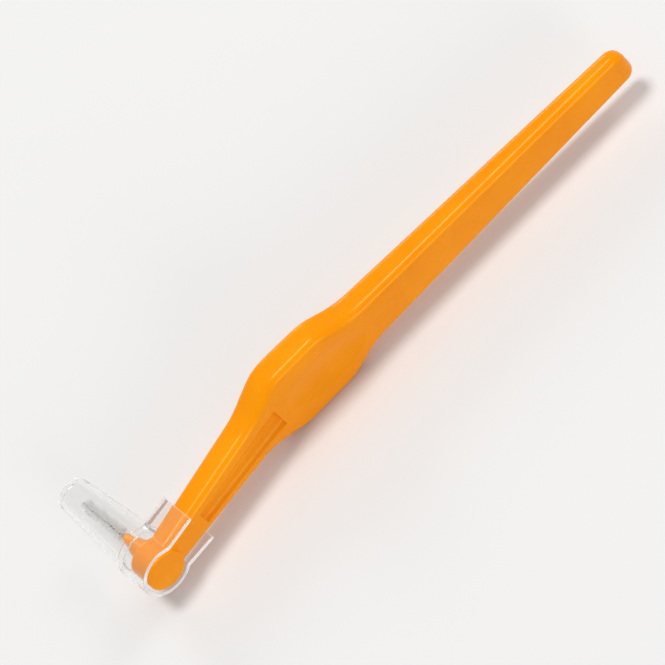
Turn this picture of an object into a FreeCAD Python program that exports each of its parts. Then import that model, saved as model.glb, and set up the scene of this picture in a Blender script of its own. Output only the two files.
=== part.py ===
import FreeCAD
import Part
import Sketcher
import os
import re

from FreeCAD import Rotation, Vector

# An angled interdental brush with its clear travel cap on, in millimetres.
# X runs along the handle towards the tail, Y along the brush from the button on the back of
# the head to the closed end of the cap, and Z across the handle.
# The origin is the centre of the button's flat back face.

doc = FreeCAD.newDocument("interdental_brush")

# Driving dimensions, in millimetres and degrees
sizes = {
    # Head: a round button on the back and a cone towards the bristles
    "button_diameter": 6.7,
    "head_depth": 4.7,
    "button_round": 0.3,
    "head_front_round": 0.9,
    "cone_root_diameter": 4.2,
    "cone_tip_diameter": 1.2,
    "cone_length": 5.3,
    # Twisted wire and its bristles
    "wire_diameter": 0.5,
    "wire_free_length": 10.4,
    "wire_grip_length": 7.0,
    "bristle_diameter": 2.6,
    "bristle_end_round": 0.5,
    "bare_root": 0.4,
    "bare_tip": 0.5,
    # Handle seen from the front, measured from the brush axis
    "pad_centre": 35.65,
    "tail_length": 66.0,
    "neck_width": 5.0,
    "spine_width": 9.2,
    "tail_end_width": 6.2,
    "tail_corner_radius": 2.0,
    "pad_width": 13.7,
    "pad_side_length": 10.0,
    "pad_flare": 24.0,
    "pad_corner_radius": 8.0,
    "pad_blend_radius": 12.0,
    # Handle seen from the side: the neck leans forwards, the tail leans back
    "back_step": 0.3,
    "neck_lean": 3.0,
    "tail_lean": 7.5,
    "back_bend_offset": 7.5,
    "front_bend_offset": 5.5,
    "back_bend_radius": 60.0,
    "front_bend_radius": 40.0,
    "neck_thickness": 4.2,
    "bend_thickness": 5.5,
    "tail_end_thickness": 3.1,
    "edge_round": 1.3,
    # Thumb dishes in the pad and the channel in the back of the neck
    "front_dish_offset": 0.5,
    "front_dish_length": 18.0,
    "front_dish_width": 9.2,
    "front_dish_depth": 1.1,
    "back_dish_offset": 2.5,
    "back_dish_length": 15.5,
    "back_dish_width": 7.6,
    "back_dish_depth": 0.6,
    "channel_start": 9.5,
    "channel_end_offset": 7.4,
    "channel_start_radius": 1.5,
    "channel_end_radius": 2.6,
    "channel_depth": 0.9,
    # Cap: a keyhole collar over the head and a tapering closed tube
    "cap_wall": 0.7,
    "collar_gap": 0.4,
    "tab_gap": 0.15,
    "tab_reach": 8.2,
    "web_gap": 0.4,
    "web_thickness": 0.8,
    "tube_root_diameter": 7.9,
    "tube_end_diameter": 5.6,
    "tip_gap": 2.2,
    "cap_end_wall": 0.9,
    "cap_end_round": 0.6,
}

sheet = doc.addObject("Spreadsheet::Sheet", "Sizes")
for row, (alias, value) in enumerate(sizes.items(), start=1):
    sheet.set(f"A{row}", alias)
    sheet.set(f"B{row}", str(value))
    sheet.setAlias(f"B{row}", alias)
doc.recompute()

# Places along the brush axis, as formulas of the driving dimensions
cone_tip = "(head_depth + cone_length)"
wire_root = f"({cone_tip} - wire_grip_length)"
wire_tip = f"({cone_tip} + wire_free_length)"
bristle_start = f"({cone_tip} + bare_root)"
bristle_end = f"({wire_tip} - bare_tip)"
bore_end = f"({wire_tip} + tip_gap)"
cap_end = f"({bore_end} + cap_end_wall)"

# Places along the handle
tail_end = "(pad_centre + tail_length)"
pad_side_start = "(pad_centre - pad_side_length / 2)"
pad_side_end = "(pad_centre + pad_side_length / 2)"
pad_flare_length = "(pad_width / 2 / tan(pad_flare * 1deg))"
back_bend = "(pad_centre - back_bend_offset)"
front_bend = "(pad_centre - front_bend_offset)"
channel_end = "(pad_centre - channel_end_offset)"
neck_slope = "tan(neck_lean * 1deg)"
tail_slope = "tan(tail_lean * 1deg)"


def neck_back(place):
    return f"(back_step + {place} * {neck_slope})"


def tail_back(place):
    return f"({neck_back(back_bend)} - ({place} - {back_bend}) * {tail_slope})"


bend_front = f"({tail_back(front_bend)} + bend_thickness)"
tail_end_front = f"({tail_back(tail_end)} + tail_end_thickness)"
front_slope = f"(({bend_front} - {tail_end_front}) / ({tail_end} - {front_bend}))"
front_dish_centre = "(pad_centre + front_dish_offset)"
front_dish_height = f"({bend_front} - ({front_dish_centre} - {front_bend}) * {front_slope})"
back_dish_centre = "(pad_centre + back_dish_offset)"
back_dish_height = tail_back(back_dish_centre)


def neck_half_width(place):
    return f"((neck_width + (spine_width - neck_width) * {place} / pad_centre) / 2)"


# The cap's collar goes round the button, and its tabs and web go round the neck
neck_root_front = "(back_step + neck_thickness)"
neck_front_slope = f"(({bend_front} - {neck_root_front}) / {front_bend})"
web_back = f"({neck_root_front} + tab_reach * {neck_front_slope} + web_gap)"
collar_depth = f"({web_back} + web_thickness)"
collar_bore_radius = "(button_diameter / 2 + collar_gap)"
collar_radius = f"({collar_bore_radius} + cap_wall)"

wire_radius = "(wire_diameter / 2)"
button_radius = "(button_diameter / 2)"

# Fixed choices: how many times a dish's depth its ellipsoid is high, how closely edges are matched,
# and how steeply a face has to tilt for its edges to be told apart
dish_bulge = 3
length_tolerance = 1e-4
flat_enough = 0.5
along_y = Vector(0, 1, 0)
along_z = Vector(0, 0, 1)


def in_sheet(formula):
    def full_name(word):
        return f"Sizes.{word[0]}" if word[0] in sizes else word[0]
    return re.sub(r"[a-z_]+", full_name, formula)


def worked_out(formula):
    return float(sheet.evalExpression(in_sheet(formula)))


def bind(feature, name, formula):
    feature.setExpression(name, in_sheet(formula))


def new_body(label):
    body = doc.addObject("PartDesign::Body", label)
    body.Label = label
    return body


def origin_plane(body, role):
    return next(feature for feature in body.Origin.OriginFeatures if feature.Role == role)


def new_sketch(body, name, plane):
    sketch = body.newObject("Sketcher::SketchObject", name)
    sketch.AttachmentSupport = (origin_plane(body, plane), [""])
    sketch.MapMode = "FlatFace"
    return sketch


def fix(sketch, kind, *points):
    sketch.addConstraint(Sketcher.Constraint(kind, *points))


def hold(sketch, name, formula, kind, *points):
    number = sketch.addConstraint(Sketcher.Constraint(kind, *points, worked_out(formula)))
    sketch.renameConstraint(number, name)
    bind(sketch, f"Constraints.{name}", formula)


# Sketches
def polygon(body, name, plane, corners):
    sketch = new_sketch(body, name, plane)
    points = [Vector(worked_out(across), worked_out(along), 0) for across, along in corners]
    count = len(points)
    for number, point in enumerate(points):
        sketch.addGeometry(Part.LineSegment(point, points[(number + 1) % count]))
    for number in range(count):
        fix(sketch, "Coincident", number, 2, (number + 1) % count, 1)
    for number, (across, along) in enumerate(corners):
        for kind, axis, formula in (("DistanceX", -2, across), ("DistanceY", -1, along)):
            if formula == "0":
                fix(sketch, "PointOnObject", number, 1, axis)
            else:
                hold(sketch, f"{kind}_{number}", formula, kind, -1, 1, number, 1)
    return sketch


def circle(body, name, place, height, radius):
    sketch = new_sketch(body, name, "YZ_Plane")
    bind(sketch, "AttachmentOffset.Base.z", place)
    bind(sketch, "AttachmentOffset.Base.x", height)
    sketch.addGeometry(Part.Circle(Vector(0, 0, 0), along_z, worked_out(radius)))
    fix(sketch, "Coincident", 0, 3, -1, 1)
    hold(sketch, "radius", radius, "Radius", 0)
    return sketch


# Features
def turned(body, name, kind, corners):
    sketch = polygon(body, f"{name}Profile", "XY_Plane", corners)
    feature = body.newObject(kind, name)
    feature.Profile = sketch
    feature.ReferenceAxis = (sketch, ["V_Axis"])
    feature.Angle = 360
    doc.recompute()
    return feature


def padded(body, name, sketch, length):
    feature = body.newObject("PartDesign::Pad", name)
    feature.Profile = sketch
    feature.Midplane = True
    bind(feature, "Length", length)
    doc.recompute()
    return feature


def rounded(body, name, base, edges, radius):
    feature = body.newObject("PartDesign::Fillet", name)
    feature.Base = (base, edges)
    bind(feature, "Radius", radius)
    doc.recompute()
    return feature


def dished(body, name, dish, centre, height, turn, side):
    # The ellipsoid's centre stands off the face, so the dish shows this share of its length
    share = f"sqrt(1 - ({dish_bulge} - 1)^2 / {dish_bulge}^2)"
    feature = body.newObject("PartDesign::SubtractiveEllipsoid", name)
    feature.AttachmentSupport = (origin_plane(body, "XY_Plane"), [""])
    feature.MapMode = "FlatFace"
    feature.AttachmentOffset.Rotation = Rotation(along_z, 1)
    bind(feature, "Radius1", f"{dish}_width / 2 / {share}")
    bind(feature, "Radius2", f"{dish}_length / 2 / {share}")
    bind(feature, "Radius3", f"{dish_bulge} * {dish}_depth")
    bind(feature, "AttachmentOffset.Base.x", centre)
    bind(feature, "AttachmentOffset.Base.y", f"{height} + ({side}) * ({dish_bulge} - 1) * {dish}_depth")
    bind(feature, "AttachmentOffset.Rotation.Angle", turn)
    doc.recompute()
    return feature


# Edges to round, found by where they lie
def edge_names(feature, wanted):
    edges = enumerate(feature.Shape.Edges, start=1)
    return [f"Edge{number}" for number, edge in edges if wanted(edge)]


def ring_edges(feature, radius, place):
    def wanted(edge):
        if not isinstance(edge.Curve, Part.Circle):
            return False
        same_size = abs(edge.Curve.Radius - worked_out(radius)) < length_tolerance
        return same_size and abs(edge.Curve.Center.y - worked_out(place)) < length_tolerance
    return edge_names(feature, wanted)


def straight_edges(feature, direction, first, last):
    def wanted(edge):
        if not isinstance(edge.Curve, Part.Line):
            return False
        aligned = abs(edge.Curve.Direction.dot(direction)) > 1 - length_tolerance
        lowest = worked_out(first) - length_tolerance
        highest = worked_out(last) + length_tolerance
        return aligned and lowest < edge.CenterOfMass.x < highest
    return edge_names(feature, wanted)


def rim_edges(feature):
    def wanted(edge):
        if edge.CenterOfMass.x < length_tolerance:
            return False
        point = edge.valueAt((edge.FirstParameter + edge.LastParameter) / 2)
        faces = feature.Shape.ancestorsOfType(edge, Part.Face)
        tilts = sorted(abs(face.normalAt(*face.Surface.parameter(point)).y) for face in faces)
        return tilts[0] < length_tolerance and tilts[1] > flat_enough
    return edge_names(feature, wanted)


# Pieces
def handle_outline():
    body = new_body("handle_outline")
    half = [
        ("0", neck_half_width("0")),
        ("pad_centre", "spine_width / 2"),
        (tail_end, "tail_end_width / 2"),
    ]
    other_half = [(across, f"-({along})") for across, along in reversed(half)]
    block_height = f"2 * {tail_end}"
    padded(body, "Spine", polygon(body, "SpineProfile", "XZ_Plane", half + other_half), block_height)
    pad_start = f"({pad_side_start} - {pad_flare_length})"
    pad_end = f"({pad_side_end} + {pad_flare_length})"
    pad_profile = polygon(body, "PadProfile", "XZ_Plane", [
        (pad_start, "0"),
        (pad_side_start, "pad_width / 2"),
        (pad_side_end, "pad_width / 2"),
        (pad_end, "0"),
        (pad_side_end, "-pad_width / 2"),
        (pad_side_start, "-pad_width / 2"),
    ])
    pad = padded(body, "Pad", pad_profile, block_height)
    corners = straight_edges(pad, along_y, pad_side_start, pad_side_end)
    edges = straight_edges(pad, along_y, pad_start, pad_end)
    junctions = [name for name in edges if name not in corners]
    blends = rounded(body, "PadBlends", pad, junctions, "pad_blend_radius")
    corners = straight_edges(blends, along_y, pad_side_start, pad_side_end)
    bulge = rounded(body, "PadCorners", blends, corners, "pad_corner_radius")
    tail_corners = straight_edges(bulge, along_y, tail_end, tail_end)
    rounded(body, "TailCorners", bulge, tail_corners, "tail_corner_radius")
    return body


def handle():
    body = new_body("handle")
    side_profile = polygon(body, "SideProfile", "XY_Plane", [
        ("0", "back_step"),
        (back_bend, neck_back(back_bend)),
        (tail_end, tail_back(tail_end)),
        (tail_end, tail_end_front),
        (front_bend, bend_front),
        ("0", neck_root_front),
    ])
    side = padded(body, "Side", side_profile, "2 * pad_width")
    back_edge = straight_edges(side, along_z, back_bend, back_bend)
    back = rounded(body, "BackBend", side, back_edge, "back_bend_radius")
    front_edge = straight_edges(back, along_z, front_bend, front_bend)
    rounded(body, "FrontBend", back, front_edge, "front_bend_radius")
    outline = body.newObject("PartDesign::Boolean", "Outline")
    outline.Type = "Common"
    outline.setObjects([handle_outline()])
    doc.recompute()
    rounded(body, "Edges", outline, rim_edges(outline), "edge_round")

    head = turned(body, "Head", "PartDesign::Revolution", [
        ("0", "0"),
        (button_radius, "0"),
        (button_radius, "head_depth"),
        ("cone_root_diameter / 2", "head_depth"),
        ("cone_tip_diameter / 2", cone_tip),
        ("0", cone_tip),
    ])
    button = rounded(body, "ButtonEdge", head, ring_edges(head, button_radius, "0"), "button_round")
    head_front = ring_edges(button, button_radius, "head_depth")
    rounded(body, "HeadFront", button, head_front, "head_front_round")

    front_turn = f"-atan({front_slope})"
    dished(body, "FrontDish", "front_dish", front_dish_centre, front_dish_height, front_turn, "1")
    back_turn = "-tail_lean * 1deg"
    dished(body, "BackDish", "back_dish", back_dish_centre, back_dish_height, back_turn, "-1")

    channel = body.newObject("PartDesign::SubtractiveLoft", "Channel")
    start_height = f"{neck_back('channel_start')} + channel_depth - channel_start_radius"
    end_height = f"{neck_back(back_bend)} + channel_depth - channel_end_radius"
    channel.Profile = circle(body, "ChannelStart", "channel_start", start_height, "channel_start_radius")
    channel.Sections = [circle(body, "ChannelEnd", channel_end, end_height, "channel_end_radius")]
    doc.recompute()

    turned(body, "WireSocket", "PartDesign::Groove", [
        ("0", wire_root),
        (wire_radius, wire_root),
        (wire_radius, cone_tip),
        ("0", cone_tip),
    ])
    return body


def core_wire():
    body = new_body("core_wire")
    wire = turned(body, "Wire", "PartDesign::Revolution", [
        ("0", wire_root),
        (wire_radius, wire_root),
        (wire_radius, wire_tip),
        ("0", wire_tip),
    ])
    tip_edge = ring_edges(wire, wire_radius, wire_tip)
    rounded(body, "WireTip", wire, tip_edge, f"{wire_radius} / 2")
    return body


def filaments():
    body = new_body("filaments")
    bristle_radius = "(bristle_diameter / 2)"
    bristles = turned(body, "Bristles", "PartDesign::Revolution", [
        (wire_radius, bristle_start),
        (bristle_radius, bristle_start),
        (bristle_radius, bristle_end),
        (wire_radius, bristle_end),
    ])
    start_edge = ring_edges(bristles, bristle_radius, bristle_start)
    end_edge = ring_edges(bristles, bristle_radius, bristle_end)
    rounded(body, "BristleEnds", bristles, start_edge + end_edge, "bristle_end_round")
    return body


def cap():
    body = new_body("cap")
    tube_end_radius = "(tube_end_diameter / 2)"
    turned(body, "Tube", "PartDesign::Revolution", [
        ("0", "0"),
        (collar_radius, "0"),
        (collar_radius, collar_depth),
        ("tube_root_diameter / 2", collar_depth),
        (tube_end_radius, cap_end),
        ("0", cap_end),
    ])

    def tabs(name, kind, gap, reach, depth):
        root = f"({neck_half_width('0')} + {gap})"
        end = f"({neck_half_width(reach)} + {gap})"
        corners = [("0", root), (reach, end), (reach, f"-{end}"), ("0", f"-{root}")]
        feature = body.newObject(kind, name)
        feature.Profile = polygon(body, f"{name}Profile", "XZ_Plane", corners)
        bind(feature, "Length", depth)
        return feature

    outer_tabs = tabs("Tabs", "PartDesign::Pad", "(tab_gap + cap_wall)", "tab_reach", collar_depth)
    outer_tabs.Reversed = True
    doc.recompute()
    slot_reach = "(2 * tab_reach)"
    tabs("Slot", "PartDesign::Pocket", "tab_gap", slot_reach, web_back)
    doc.recompute()
    bore = turned(body, "Bore", "PartDesign::Groove", [
        ("0", "0"),
        (collar_bore_radius, "0"),
        (collar_bore_radius, web_back),
        ("tube_root_diameter / 2 - cap_wall", web_back),
        (f"{tube_end_radius} - cap_wall", bore_end),
        ("0", bore_end),
    ])
    end_edge = ring_edges(bore, tube_end_radius, cap_end)
    rounded(body, "CapEnd", bore, end_edge, "cap_end_round")
    return body


pieces = [handle(), core_wire(), filaments(), cap()]
doc.recompute()

for item in doc.Objects:
    if "Invalid" in item.State or "Error" in item.State:
        raise RuntimeError(f"{item.Name} failed: {item.State}")
for piece in pieces:
    if piece.Shape.isNull() or not piece.Shape.isValid() or len(piece.Shape.Solids) != 1:
        raise RuntimeError(f"{piece.Label} is not one sound solid")

os.makedirs("parts", exist_ok=True)
for piece in pieces:
    piece.Shape.exportStep(f"parts/{piece.Label}.step")
    print(f"{piece.Label}: {piece.Shape.Volume:.1f} mm3")
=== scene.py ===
import math
from functools import partial

import bmesh
import bpy
from mathutils import Matrix, Vector


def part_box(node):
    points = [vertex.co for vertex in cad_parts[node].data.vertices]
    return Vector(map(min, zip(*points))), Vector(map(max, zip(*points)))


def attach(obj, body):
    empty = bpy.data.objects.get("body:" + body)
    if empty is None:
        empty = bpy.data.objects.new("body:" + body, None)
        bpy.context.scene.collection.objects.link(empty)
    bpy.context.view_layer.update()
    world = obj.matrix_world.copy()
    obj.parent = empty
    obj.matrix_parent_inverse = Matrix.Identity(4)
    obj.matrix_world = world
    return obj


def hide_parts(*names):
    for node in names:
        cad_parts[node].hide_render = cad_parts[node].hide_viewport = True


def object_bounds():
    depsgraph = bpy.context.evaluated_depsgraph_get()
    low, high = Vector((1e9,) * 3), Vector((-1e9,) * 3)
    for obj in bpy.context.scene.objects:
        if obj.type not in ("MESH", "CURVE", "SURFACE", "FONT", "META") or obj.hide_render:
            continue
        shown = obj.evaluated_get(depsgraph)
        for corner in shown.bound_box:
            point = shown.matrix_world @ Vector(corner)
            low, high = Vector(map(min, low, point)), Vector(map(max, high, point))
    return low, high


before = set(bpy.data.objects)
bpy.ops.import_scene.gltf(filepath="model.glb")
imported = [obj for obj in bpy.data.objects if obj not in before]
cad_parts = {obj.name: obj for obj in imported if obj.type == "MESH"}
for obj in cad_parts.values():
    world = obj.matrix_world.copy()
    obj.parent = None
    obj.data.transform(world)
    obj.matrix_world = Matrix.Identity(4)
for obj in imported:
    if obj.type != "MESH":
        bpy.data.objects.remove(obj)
cadLow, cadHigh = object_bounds()
mm = 0.001
scene = bpy.context.scene
print("frame loaded:", ", ".join(sorted(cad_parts)))

weldDistance = 0.0005 * mm  # points nearer than this are one
noiseLow, noiseHigh = 0.3, 0.7  # most noise values lie between these


# Small helpers for node trees
def addNode(tree, kind, **settings):
    node = tree.nodes.new(kind)
    for name, value in settings.items():
        setattr(node, name, value)
    return node


def plug(tree, socket, value):
    if isinstance(value, bpy.types.NodeSocket):
        tree.links.new(value, socket)
    else:
        socket.default_value = value


def setInputs(node, values):
    for name, value in values.items():
        node.inputs[name].default_value = value


def mathNode(tree, operation, *values):
    node = addNode(tree, "ShaderNodeMath", operation=operation)
    for socket, value in zip(node.inputs, values):
        plug(tree, socket, value)
    return node.outputs[0]


# Small helpers for materials
def newMaterial(name):
    material = bpy.data.materials.new(name)
    material.use_nodes = True
    tree = material.node_tree
    shader = tree.nodes["Principled BSDF"]
    place = addNode(tree, "ShaderNodeTexCoord").outputs["Object"]
    return material, tree, shader, place


def noise(tree, place, scale, detail=2.0, roughness=0.5):
    node = addNode(tree, "ShaderNodeTexNoise")
    plug(tree, node.inputs["Vector"], place)
    setInputs(node, {"Scale": scale, "Detail": detail, "Roughness": roughness})
    return node.outputs["Fac"]


def spread(tree, value, low, high):
    node = addNode(tree, "ShaderNodeMapRange")
    plug(tree, node.inputs["Value"], value)
    setInputs(node, {"From Min": noiseLow, "From Max": noiseHigh, "To Min": low, "To Max": high})
    return node.outputs["Result"]


def blendColours(tree, factor, first, second):
    node = addNode(tree, "ShaderNodeMix", data_type="RGBA")
    plug(tree, node.inputs["Factor"], spread(tree, factor, 0, 1))
    setInputs(node, {"A": (*first, 1), "B": (*second, 1)})
    return node.outputs["Result"]


def bump(tree, height, strength, depth, before=None):
    node = addNode(tree, "ShaderNodeBump")
    plug(tree, node.inputs["Height"], height)
    setInputs(node, {"Strength": strength, "Distance": depth})
    if before is not None:
        plug(tree, node.inputs["Normal"], before)
    return node.outputs["Normal"]


# Small helpers for meshes
def addObject(name, data):
    piece = bpy.data.objects.new(name, data)
    scene.collection.objects.link(piece)
    return piece


def cleanCopy(name, node, flatAngle):
    mesh = bpy.data.meshes.new(name)
    shape = bmesh.new()
    shape.from_mesh(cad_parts[node].data)
    bmesh.ops.remove_doubles(shape, verts=shape.verts, dist=weldDistance)
    bmesh.ops.dissolve_degenerate(shape, edges=shape.edges, dist=weldDistance)
    shape.to_mesh(mesh)
    shape.clear()
    shape.from_mesh(mesh)  # read back, so that its normals are fresh
    bmesh.ops.dissolve_limit(shape, angle_limit=math.radians(flatAngle),
                             verts=shape.verts, edges=shape.edges)
    shape.to_mesh(mesh)
    shape.free()
    return addObject(name, mesh)


def bakeModifiers(piece):
    graph = bpy.context.evaluated_depsgraph_get()
    done = bpy.data.meshes.new_from_object(piece.evaluated_get(graph), depsgraph=graph)
    done.name = piece.name
    piece.modifiers.clear()
    piece.data = done


def dress(piece, *materials):
    piece.data.materials.clear()
    for material in materials:
        piece.data.materials.append(material)


def fasten(piece, body, slot, *nodes):
    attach(piece, body)
    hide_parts(*nodes)


# Small helpers for geometry trees
def newTree(name, sockets):
    tree = bpy.data.node_groups.new(name, "GeometryNodeTree")
    for label, kind in sockets.items():
        tree.interface.new_socket(label, in_out="INPUT", socket_type="NodeSocket" + kind)
    tree.interface.new_socket("Geometry", in_out="OUTPUT", socket_type="NodeSocketGeometry")
    inputs = addNode(tree, "NodeGroupInput").outputs
    output = addNode(tree, "NodeGroupOutput").inputs[0]
    return tree, inputs, output


def grown(name, tree, values):
    piece = addObject(name, bpy.data.meshes.new(name))
    modifier = piece.modifiers.new("Nodes", "NODES")
    modifier.node_group = tree
    for item in tree.interface.items_tree:
        if item.in_out == "INPUT":
            modifier[item.identifier] = values[item.name]
    bakeModifiers(piece)
    return piece


def xyz(tree, x=0.0, y=0.0, z=0.0):
    node = addNode(tree, "ShaderNodeCombineXYZ")
    for socket, value in zip(node.inputs, (x, y, z)):
        plug(tree, socket, value)
    return node.outputs[0]


def fromMiddle(tree, share):
    centred = mathNode(tree, "SUBTRACT", mathNode(tree, "MULTIPLY", share, 2.0), 1.0)
    return mathNode(tree, "ABSOLUTE", centred)


def resampled(tree, line, count):
    node = addNode(tree, "GeometryNodeResampleCurve")
    plug(tree, node.inputs["Curve"], line.outputs[0])
    plug(tree, node.inputs["Count"], count)
    return node.outputs[0]


def moved(tree, curve, position):
    node = addNode(tree, "GeometryNodeSetPosition")
    plug(tree, node.inputs["Geometry"], curve)
    plug(tree, node.inputs["Position"], position)
    return node.outputs[0]


def tubeAlong(tree, curve, sides, radius):
    ring = addNode(tree, "GeometryNodeCurvePrimitiveCircle")
    plug(tree, ring.inputs["Resolution"], sides)
    plug(tree, ring.inputs["Radius"], radius)
    tube = addNode(tree, "GeometryNodeCurveToMesh")
    plug(tree, tube.inputs["Curve"], curve)
    plug(tree, tube.inputs["Profile Curve"], ring.outputs[0])
    tube.inputs["Fill Caps"].default_value = True
    return tube.outputs[0]


def finishTree(tree, geometry, material, output):
    real = addNode(tree, "GeometryNodeRealizeInstances")
    plug(tree, real.inputs[0], geometry)
    smooth = addNode(tree, "GeometryNodeSetShadeSmooth")
    plug(tree, smooth.inputs["Geometry"], real.outputs[0])
    paint = addNode(tree, "GeometryNodeSetMaterial")
    plug(tree, paint.inputs["Geometry"], smooth.outputs[0])
    plug(tree, paint.inputs["Material"], material)
    plug(tree, output, paint.outputs[0])


# Orange handle: satin moulded polypropylene
handleLook = {
    "deepOrange": (0.90, 0.275, 0.0),
    "brightOrange": (0.97, 0.322, 0.0),
    "cloudScale": 90,  # slow drift of the colour
    "cloudDetail": 3,
    "subsurface": 0.15,
    "glowReach": 1.6 * mm,  # how far light spreads inside
    "glowColour": (1.0, 0.34, 0.06),
    "glossiest": 0.20,
    "dullest": 0.29,
    "sheenScale": 420,
    "sheenDetail": 4,
    "gloss": 0.28,
    "glossTint": (1.0, 0.78, 0.34),  # warm reflections
    "ior": 1.49,
    "waveScale": 260,  # faint unevenness of the moulding
    "waveStrength": 0.12,
    "waveDepth": 0.03 * mm,
    "grainScale": 7000,
    "grainStrength": 0.10,
    "grainDepth": 0.006 * mm,
}


def orangePlastic():
    look = handleLook
    material, tree, shader, place = newMaterial("orangePlastic")
    cloud = noise(tree, place, look["cloudScale"], look["cloudDetail"])
    colour = blendColours(tree, cloud, look["deepOrange"], look["brightOrange"])
    plug(tree, shader.inputs["Base Color"], colour)
    sheen = noise(tree, place, look["sheenScale"], look["sheenDetail"])
    plug(tree, shader.inputs["Roughness"], spread(tree, sheen, look["glossiest"], look["dullest"]))
    wave = bump(tree, noise(tree, place, look["waveScale"]), look["waveStrength"], look["waveDepth"])
    grain = noise(tree, place, look["grainScale"])
    plug(tree, shader.inputs["Normal"], bump(tree, grain, look["grainStrength"], look["grainDepth"], wave))
    setInputs(shader, {
        "Subsurface Weight": look["subsurface"],
        "Subsurface Radius": look["glowColour"],
        "Subsurface Scale": look["glowReach"],
        "IOR": look["ior"],
        "Specular IOR Level": look["gloss"],
        "Specular Tint": (*look["glossTint"], 1),
    })
    return material


handleMoulding = addObject("handle_moulding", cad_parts["handle"].data.copy())
dress(handleMoulding, orangePlastic())
fasten(handleMoulding, "brush", "orange_plastic", "handle")
print("handle:", len(handleMoulding.data.polygons), "faces")


# Twisted wire: one strand folded double at the tip
wireLook = {
    "strandRadius": 0.125 * mm,
    "twistPitch": 1.5 * mm,
    "easeLength": 0.5 * mm,  # the twist slows over this length before the fold
    "points": 620,
    "sides": 10,
    "shadow": (0.24, 0.24, 0.25),
    "shine": (0.44, 0.44, 0.45),
    "markScale": 2600,
    "markDetail": 4,
    "markRoughness": 0.6,
    "glossiest": 0.22,
    "dullest": 0.38,
}


def wireSteel():
    look = wireLook
    material, tree, shader, place = newMaterial("wireSteel")
    marks = noise(tree, place, look["markScale"], look["markDetail"], look["markRoughness"])
    plug(tree, shader.inputs["Base Color"], blendColours(tree, marks, look["shadow"], look["shine"]))
    plug(tree, shader.inputs["Roughness"], spread(tree, marks, look["glossiest"], look["dullest"]))
    setInputs(shader, {"Metallic": 1.0})
    return material


def twistTree():
    tree, inputs, output = newTree("twistedWire", {
        "Start": "Float",
        "Length": "Float",
        "Strand Radius": "Float",
        "Pitch": "Float",
        "Ease": "Float",
        "Points": "Int",
        "Sides": "Int",
        "Material": "Material",
    })
    calc = partial(mathNode, tree)
    radius = inputs["Strand Radius"]

    # Out along one side, round the fold, and back along the other side
    step = addNode(tree, "GeometryNodeInputIndex").outputs[0]
    share = calc("DIVIDE", step, calc("SUBTRACT", inputs["Points"], 1.0))
    side = calc("SIGN", calc("SUBTRACT", 0.5, share))
    straight = calc("SUBTRACT", inputs["Length"], calc("MULTIPLY", radius, 2.0))
    bend = calc("MULTIPLY", radius, math.pi / 2)
    fold = calc("SUBTRACT", 1.0, fromMiddle(tree, share))
    travelled = calc("MULTIPLY", fold, calc("ADD", straight, bend))
    climb = calc("MINIMUM", travelled, straight)
    turn = calc("DIVIDE", calc("SUBTRACT", travelled, climb), radius)
    out = calc("MULTIPLY", calc("MULTIPLY", radius, calc("COSINE", turn)), side)
    rise = calc("ADD", climb, calc("MULTIPLY", radius, calc("SINE", turn)))

    # The twist slows to a stop just before the fold
    easeStart = calc("SUBTRACT", straight, inputs["Ease"])
    easing = calc("MAXIMUM", calc("SUBTRACT", climb, easeStart), 0.0)
    lost = calc("DIVIDE", calc("MULTIPLY", easing, easing), calc("MULTIPLY", inputs["Ease"], 2.0))
    turns = calc("DIVIDE", calc("SUBTRACT", climb, lost), inputs["Pitch"])
    twist = calc("MULTIPLY", turns, math.tau)
    point = xyz(tree, calc("MULTIPLY", out, calc("COSINE", twist)),
                calc("ADD", rise, inputs["Start"]),
                calc("MULTIPLY", out, calc("SINE", twist)))

    line = addNode(tree, "GeometryNodeCurvePrimitiveLine")
    strand = moved(tree, resampled(tree, line, inputs["Points"]), point)
    finishTree(tree, tubeAlong(tree, strand, inputs["Sides"], radius), inputs["Material"], output)
    return tree


wireLow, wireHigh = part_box("core_wire")
wireTwist = grown("wire_twist", twistTree(), {
    "Start": wireLow.y,
    "Length": wireHigh.y - wireLow.y,
    "Strand Radius": wireLook["strandRadius"],
    "Pitch": wireLook["twistPitch"],
    "Ease": wireLook["easeLength"],
    "Points": wireLook["points"],
    "Sides": wireLook["sides"],
    "Material": wireSteel(),
})
fasten(wireTwist, "brush", "wire_steel", "core_wire")
print("wire:", len(wireTwist.data.polygons), "faces")


# Bristles: nylon filaments that pass between the two strands and fan out with the twist
bristleLook = {
    "count": 420,
    "radius": 0.033 * mm,
    "points": 7,
    "sides": 5,
    "spreadDegrees": 22.0,
    "leanDegrees": 7.0,
    "lengthVariation": 0.05,
    "curl": 0.05 * mm,
    "endTrim": 0.22,  # share by which the outermost filaments are shorter
    "endSharpness": 24.0,  # higher keeps the trim closer to the ends
    "seed": 7,
    "ivory": (0.93, 0.93, 0.92),
    "white": (0.98, 0.98, 0.96),
    "tintScale": 1500,
    "glossiest": 0.3,
    "dullest": 0.45,
    "ior": 1.53,
}


def bristleNylon():
    look = bristleLook
    material, tree, shader, place = newMaterial("bristleNylon")
    tint = noise(tree, place, look["tintScale"])
    plug(tree, shader.inputs["Base Color"], blendColours(tree, tint, look["ivory"], look["white"]))
    plug(tree, shader.inputs["Roughness"], spread(tree, tint, look["glossiest"], look["dullest"]))
    setInputs(shader, {"IOR": look["ior"]})
    return material


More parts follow.
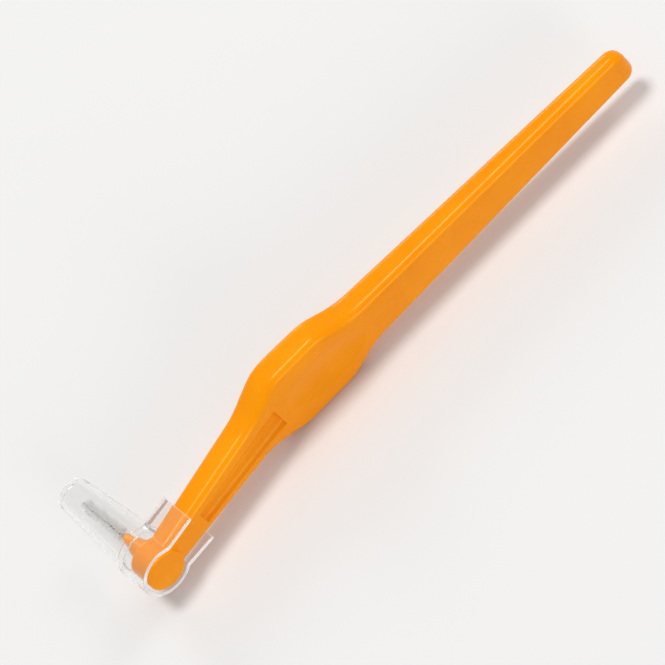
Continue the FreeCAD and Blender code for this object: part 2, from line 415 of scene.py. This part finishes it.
def bristleTree():
    tree, inputs, output = newTree("bristleFan", {
        "Start": "Float",
        "Length": "Float",
        "Reach": "Float",
        "Radius": "Float",
        "Curl": "Float",
        "Pitch": "Float",
        "Turn at Start": "Float",
        "Spread": "Float",
        "Lean": "Float",
        "Length Variation": "Float",
        "End Trim": "Float",
        "End Sharpness": "Float",
        "Count": "Int",
        "Points": "Int",
        "Sides": "Int",
        "Seed": "Int",
        "Material": "Material",
    })
    calc = partial(mathNode, tree)

    def plusMinus(value, draw):
        node = addNode(tree, "FunctionNodeRandomValue", data_type="FLOAT")
        plug(tree, node.inputs[2], -1.0)  # lowest
        plug(tree, node.inputs[3], 1.0)  # highest
        plug(tree, node.inputs["Seed"], calc("ADD", inputs["Seed"], draw))
        return calc("MULTIPLY", value, node.outputs[1])

    # One filament, straight through the wire and a little curled
    line = addNode(tree, "GeometryNodeCurvePrimitiveLine")
    setInputs(line, {"Start": (-1, 0, 0), "End": (1, 0, 0)})
    spot = addNode(tree, "ShaderNodeSeparateXYZ")
    plug(tree, spot.inputs[0], addNode(tree, "GeometryNodeInputPosition").outputs[0])
    across = spot.outputs[0]
    bow = calc("MULTIPLY", calc("MULTIPLY", across, across), inputs["Curl"])
    bent = moved(tree, resampled(tree, line, inputs["Points"]),
                 xyz(tree, calc("MULTIPLY", across, inputs["Reach"]), bow))
    filament = tubeAlong(tree, bent, inputs["Sides"], inputs["Radius"])

    # A point for each filament along the wire
    points = addNode(tree, "GeometryNodePoints")
    plug(tree, points.inputs["Count"], inputs["Count"])
    step = addNode(tree, "GeometryNodeInputIndex").outputs[0]
    share = calc("DIVIDE", calc("ADD", step, 0.5), inputs["Count"])
    along = calc("MULTIPLY", share, inputs["Length"])
    plug(tree, points.inputs["Position"], xyz(tree, y=calc("ADD", along, inputs["Start"])))

    # Each filament turns with the twist, give or take a little
    turn = calc("MULTIPLY", calc("DIVIDE", along, inputs["Pitch"]), -math.tau)
    turn = calc("SUBTRACT", turn, inputs["Turn at Start"])
    angle = calc("ADD", turn, plusMinus(inputs["Spread"], 1.0))
    lean = plusMinus(inputs["Lean"], 2.0)
    longer = calc("ADD", 1.0, plusMinus(inputs["Length Variation"], 3.0))

    # The first and last filaments are a little shorter
    nearEnd = calc("POWER", fromMiddle(tree, share), inputs["End Sharpness"])
    shorter = calc("MULTIPLY", nearEnd, inputs["End Trim"])
    size = calc("MULTIPLY", longer, calc("SUBTRACT", 1.0, shorter))

    scatter = addNode(tree, "GeometryNodeInstanceOnPoints")
    plug(tree, scatter.inputs["Points"], points.outputs[0])
    plug(tree, scatter.inputs["Instance"], filament)
    plug(tree, scatter.inputs["Rotation"], xyz(tree, y=angle, z=lean))
    plug(tree, scatter.inputs["Scale"], xyz(tree, size, 1.0, 1.0))
    finishTree(tree, scatter.outputs[0], inputs["Material"], output)
    return tree


bristleLow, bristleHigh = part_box("filaments")
bristleReach = (bristleHigh.z - bristleLow.z) / 2
turnsBelow = (bristleLow.y - wireLow.y) / wireLook["twistPitch"]
bristleFan = grown("bristle_fan", bristleTree(), {
    "Start": bristleLow.y,
    "Length": bristleHigh.y - bristleLow.y,
    "Reach": bristleReach / (1 + bristleLook["lengthVariation"]),
    "Radius": bristleLook["radius"],
    "Curl": bristleLook["curl"],
    "Pitch": wireLook["twistPitch"],
    "Turn at Start": turnsBelow * math.tau + math.pi / 2,
    "Spread": math.radians(bristleLook["spreadDegrees"]),
    "Lean": math.radians(bristleLook["leanDegrees"]),
    "Length Variation": bristleLook["lengthVariation"],
    "End Trim": bristleLook["endTrim"],
    "End Sharpness": bristleLook["endSharpness"],
    "Count": bristleLook["count"],
    "Points": bristleLook["points"],
    "Sides": bristleLook["sides"],
    "Seed": bristleLook["seed"],
    "Material": bristleNylon(),
})
fasten(bristleFan, "brush", "bristle_nylon", "filaments")
print("bristles:", len(bristleFan.data.polygons), "faces")


# Clear cap, with rounded rims; where it is open the rims are hazier and less clear, a painted highlight
# for the pale look of light running along the wall seen edge-on
capLook = {
    "flatAngle": 0.4,  # neighbours within this many degrees become one face
    "rimRound": 0.14 * mm,
    "rimSegments": 3,
    "rimAngle": 35,
    "rimFacing": 0.3,  # how squarely a face looks out of the open end
    "smoothAngle": 50,
    "tint": (0.975, 0.98, 0.975),
    "haze": 0.03,
    "clarity": 0.985,
    # painted highlight: the open rims are hazier and less clear so that they read pale
    "paintedRimHaze": 0.38,
    "paintedRimClarity": 0.62,
    "hazeRange": (0.8, 1.3),
    "ior": 1.49,
    "waveScale": 380,
    "waveStrength": 0.1,
    "waveDepth": 0.03 * mm,
    "passed": (0.975, 0.975, 0.975),
    "trappedAfter": 4.0,
}


def clearPlastic(name, haze, clarity):
    look = capLook
    material, tree, shader, place = newMaterial(name)
    wave = noise(tree, place, look["waveScale"])
    clearest, cloudiest = (haze * part for part in look["hazeRange"])
    plug(tree, shader.inputs["Roughness"], spread(tree, wave, clearest, cloudiest))
    plug(tree, shader.inputs["Normal"], bump(tree, wave, look["waveStrength"], look["waveDepth"]))
    setInputs(shader, {
        "Base Color": (*look["tint"], 1),
        "Transmission Weight": clarity,
        "IOR": look["ior"],
    })

    # Lamps and scattered light pass straight through the thin wall
    ray = addNode(tree, "ShaderNodeLightPath").outputs
    soft = mathNode(tree, "MAXIMUM", ray["Is Shadow Ray"], ray["Is Diffuse Ray"])
    # So does light that has been caught in the wall for a while
    trapped = mathNode(tree, "GREATER_THAN", ray["Ray Depth"], look["trappedAfter"])
    passing = addNode(tree, "ShaderNodeBsdfTransparent")
    setInputs(passing, {"Color": (*look["passed"], 1)})
    either = addNode(tree, "ShaderNodeMixShader")
    plug(tree, either.inputs[0], mathNode(tree, "MAXIMUM", soft, trapped))
    plug(tree, either.inputs[1], shader.outputs[0])
    plug(tree, either.inputs[2], passing.outputs[0])
    plug(tree, tree.nodes["Material Output"].inputs["Surface"], either.outputs[0])
    return material


clearCap = cleanCopy("clear_cap", "cap", capLook["flatAngle"])
rims = clearCap.modifiers.new("Rims", "BEVEL")
rims.width = capLook["rimRound"]
rims.segments = capLook["rimSegments"]
rims.limit_method = "ANGLE"
rims.angle_limit = math.radians(capLook["rimAngle"])
rims.miter_outer = "MITER_ARC"
bakeModifiers(clearCap)
clearCap.data.shade_smooth()
clearCap.data.set_sharp_from_angle(angle=math.radians(capLook["smoothAngle"]))
even = clearCap.modifiers.new("Even", "WEIGHTED_NORMAL")
even.keep_sharp = True
bakeModifiers(clearCap)
dress(clearCap,
      clearPlastic("clearPlastic", capLook["haze"], capLook["clarity"]),
      clearPlastic("paintedRimHighlight", capLook["paintedRimHaze"], capLook["paintedRimClarity"]))
capLow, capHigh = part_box("cap")
# Faces at the open end and at the tab ends get the paler rim material, a painted highlight
for face in clearCap.data.polygons:
    atBack = face.center.y < capLow.y + capLook["rimRound"] and face.normal.y < -capLook["rimFacing"]
    atTabs = face.center.x > capHigh.x - capLook["rimRound"] and face.normal.x > capLook["rimFacing"]
    if atBack or atTabs:
        face.material_index = 1
fasten(clearCap, "cap", "clear_plastic", "cap")
print("cap:", len(clearCap.data.polygons), "faces")


# Floor, camera and lights
stageLook = {
    "floorColour": (0.79, 0.788, 0.785),
    "floorRoughness": 0.85,
    "floorGloss": 0.15,
    "floorSize": 6.0,
    "floorGap": 0.02 * mm,
    "worldColour": (0.97, 0.98, 1.0),
    "worldStrength": 0.46,
}


def paleFloor():
    material, _, shader, _ = newMaterial("paleFloor")
    setInputs(shader, {
        "Base Color": (*stageLook["floorColour"], 1),
        "Roughness": stageLook["floorRoughness"],
        "Specular IOR Level": stageLook["floorGloss"],
    })
    return material


half = stageLook["floorSize"] / 2
floorLevel = cadLow.z - stageLook["floorGap"]
floorMesh = bpy.data.meshes.new("floor")
corners = [(-half, -half), (half, -half), (half, half), (-half, half)]
floorMesh.from_pydata([(x, y, floorLevel) for x, y in corners], [], [(0, 1, 2, 3)])
floor = addObject("floor", floorMesh)
dress(floor, paleFloor())

world = bpy.data.worlds.new("studio")
world.use_nodes = True
setInputs(world.node_tree.nodes["Background"], {
    "Color": (*stageLook["worldColour"], 1),
    "Strength": stageLook["worldStrength"],
})
scene.world = world
scene.view_settings.view_transform = "Standard"


def direction(azimuth, elevation):
    turn, rise = math.radians(azimuth), math.radians(elevation)
    return Vector((math.sin(turn) * math.cos(rise), -math.cos(turn) * math.cos(rise), math.sin(rise)))


cameraLook = {
    "azimuth": -4.0,
    "elevation": 52.0,
    "roll": -48.0,
    "lens": 280.0,
    "distance": 0.77,
    "target": (43.0 * mm, 4.0 * mm, 0.0),
    "clipStart": 0.01,
}
away = direction(cameraLook["azimuth"], cameraLook["elevation"])
rolled = Matrix.Rotation(math.radians(cameraLook["roll"]), 3, "Z")
camera = addObject("camera", bpy.data.cameras.new("camera"))
camera.data.lens = cameraLook["lens"]
camera.data.clip_start = cameraLook["clipStart"]
camera.location = Vector(cameraLook["target"]) + away * cameraLook["distance"]
camera.rotation_euler = (away.to_track_quat("Z", "Y").to_matrix() @ rolled).to_euler()
scene.camera = camera

# Softboxes stand far enough away to light the floor evenly
softboxDistance = 2.4
softboxes = {
    "keySoftbox": {"azimuth": 170.0, "elevation": 82.0, "width": 0.70,
                   "watts": 28.0, "colour": (1.0, 0.985, 0.96)},
    "fillSoftbox": {"azimuth": -3.0, "elevation": 16.0, "width": 0.85,
                    "watts": 15.5, "colour": (0.97, 0.98, 1.0)},
    "rimSoftbox": {"azimuth": 89.0, "elevation": 32.0, "width": 0.83,
                   "watts": 8.0, "colour": (1.0, 1.0, 1.0)},
    "backSoftbox": {"azimuth": 165.0, "elevation": 24.0, "width": 0.85,
                    "watts": 10.0, "colour": (1.0, 0.99, 0.98)},
}
middle = (cadLow + cadHigh) / 2
for name, box in softboxes.items():
    lamp = bpy.data.lights.new(name, "AREA")
    lamp.shape = "DISK"
    lamp.size = box["width"]
    lamp.energy = box["watts"]
    lamp.color = box["colour"]
    softbox = addObject(name, lamp)
    outwards = direction(box["azimuth"], box["elevation"])
    softbox.location = middle + outwards * softboxDistance
    softbox.rotation_euler = outwards.to_track_quat("Z", "Y").to_euler()
print("stage ready:", len(softboxes), "softboxes")
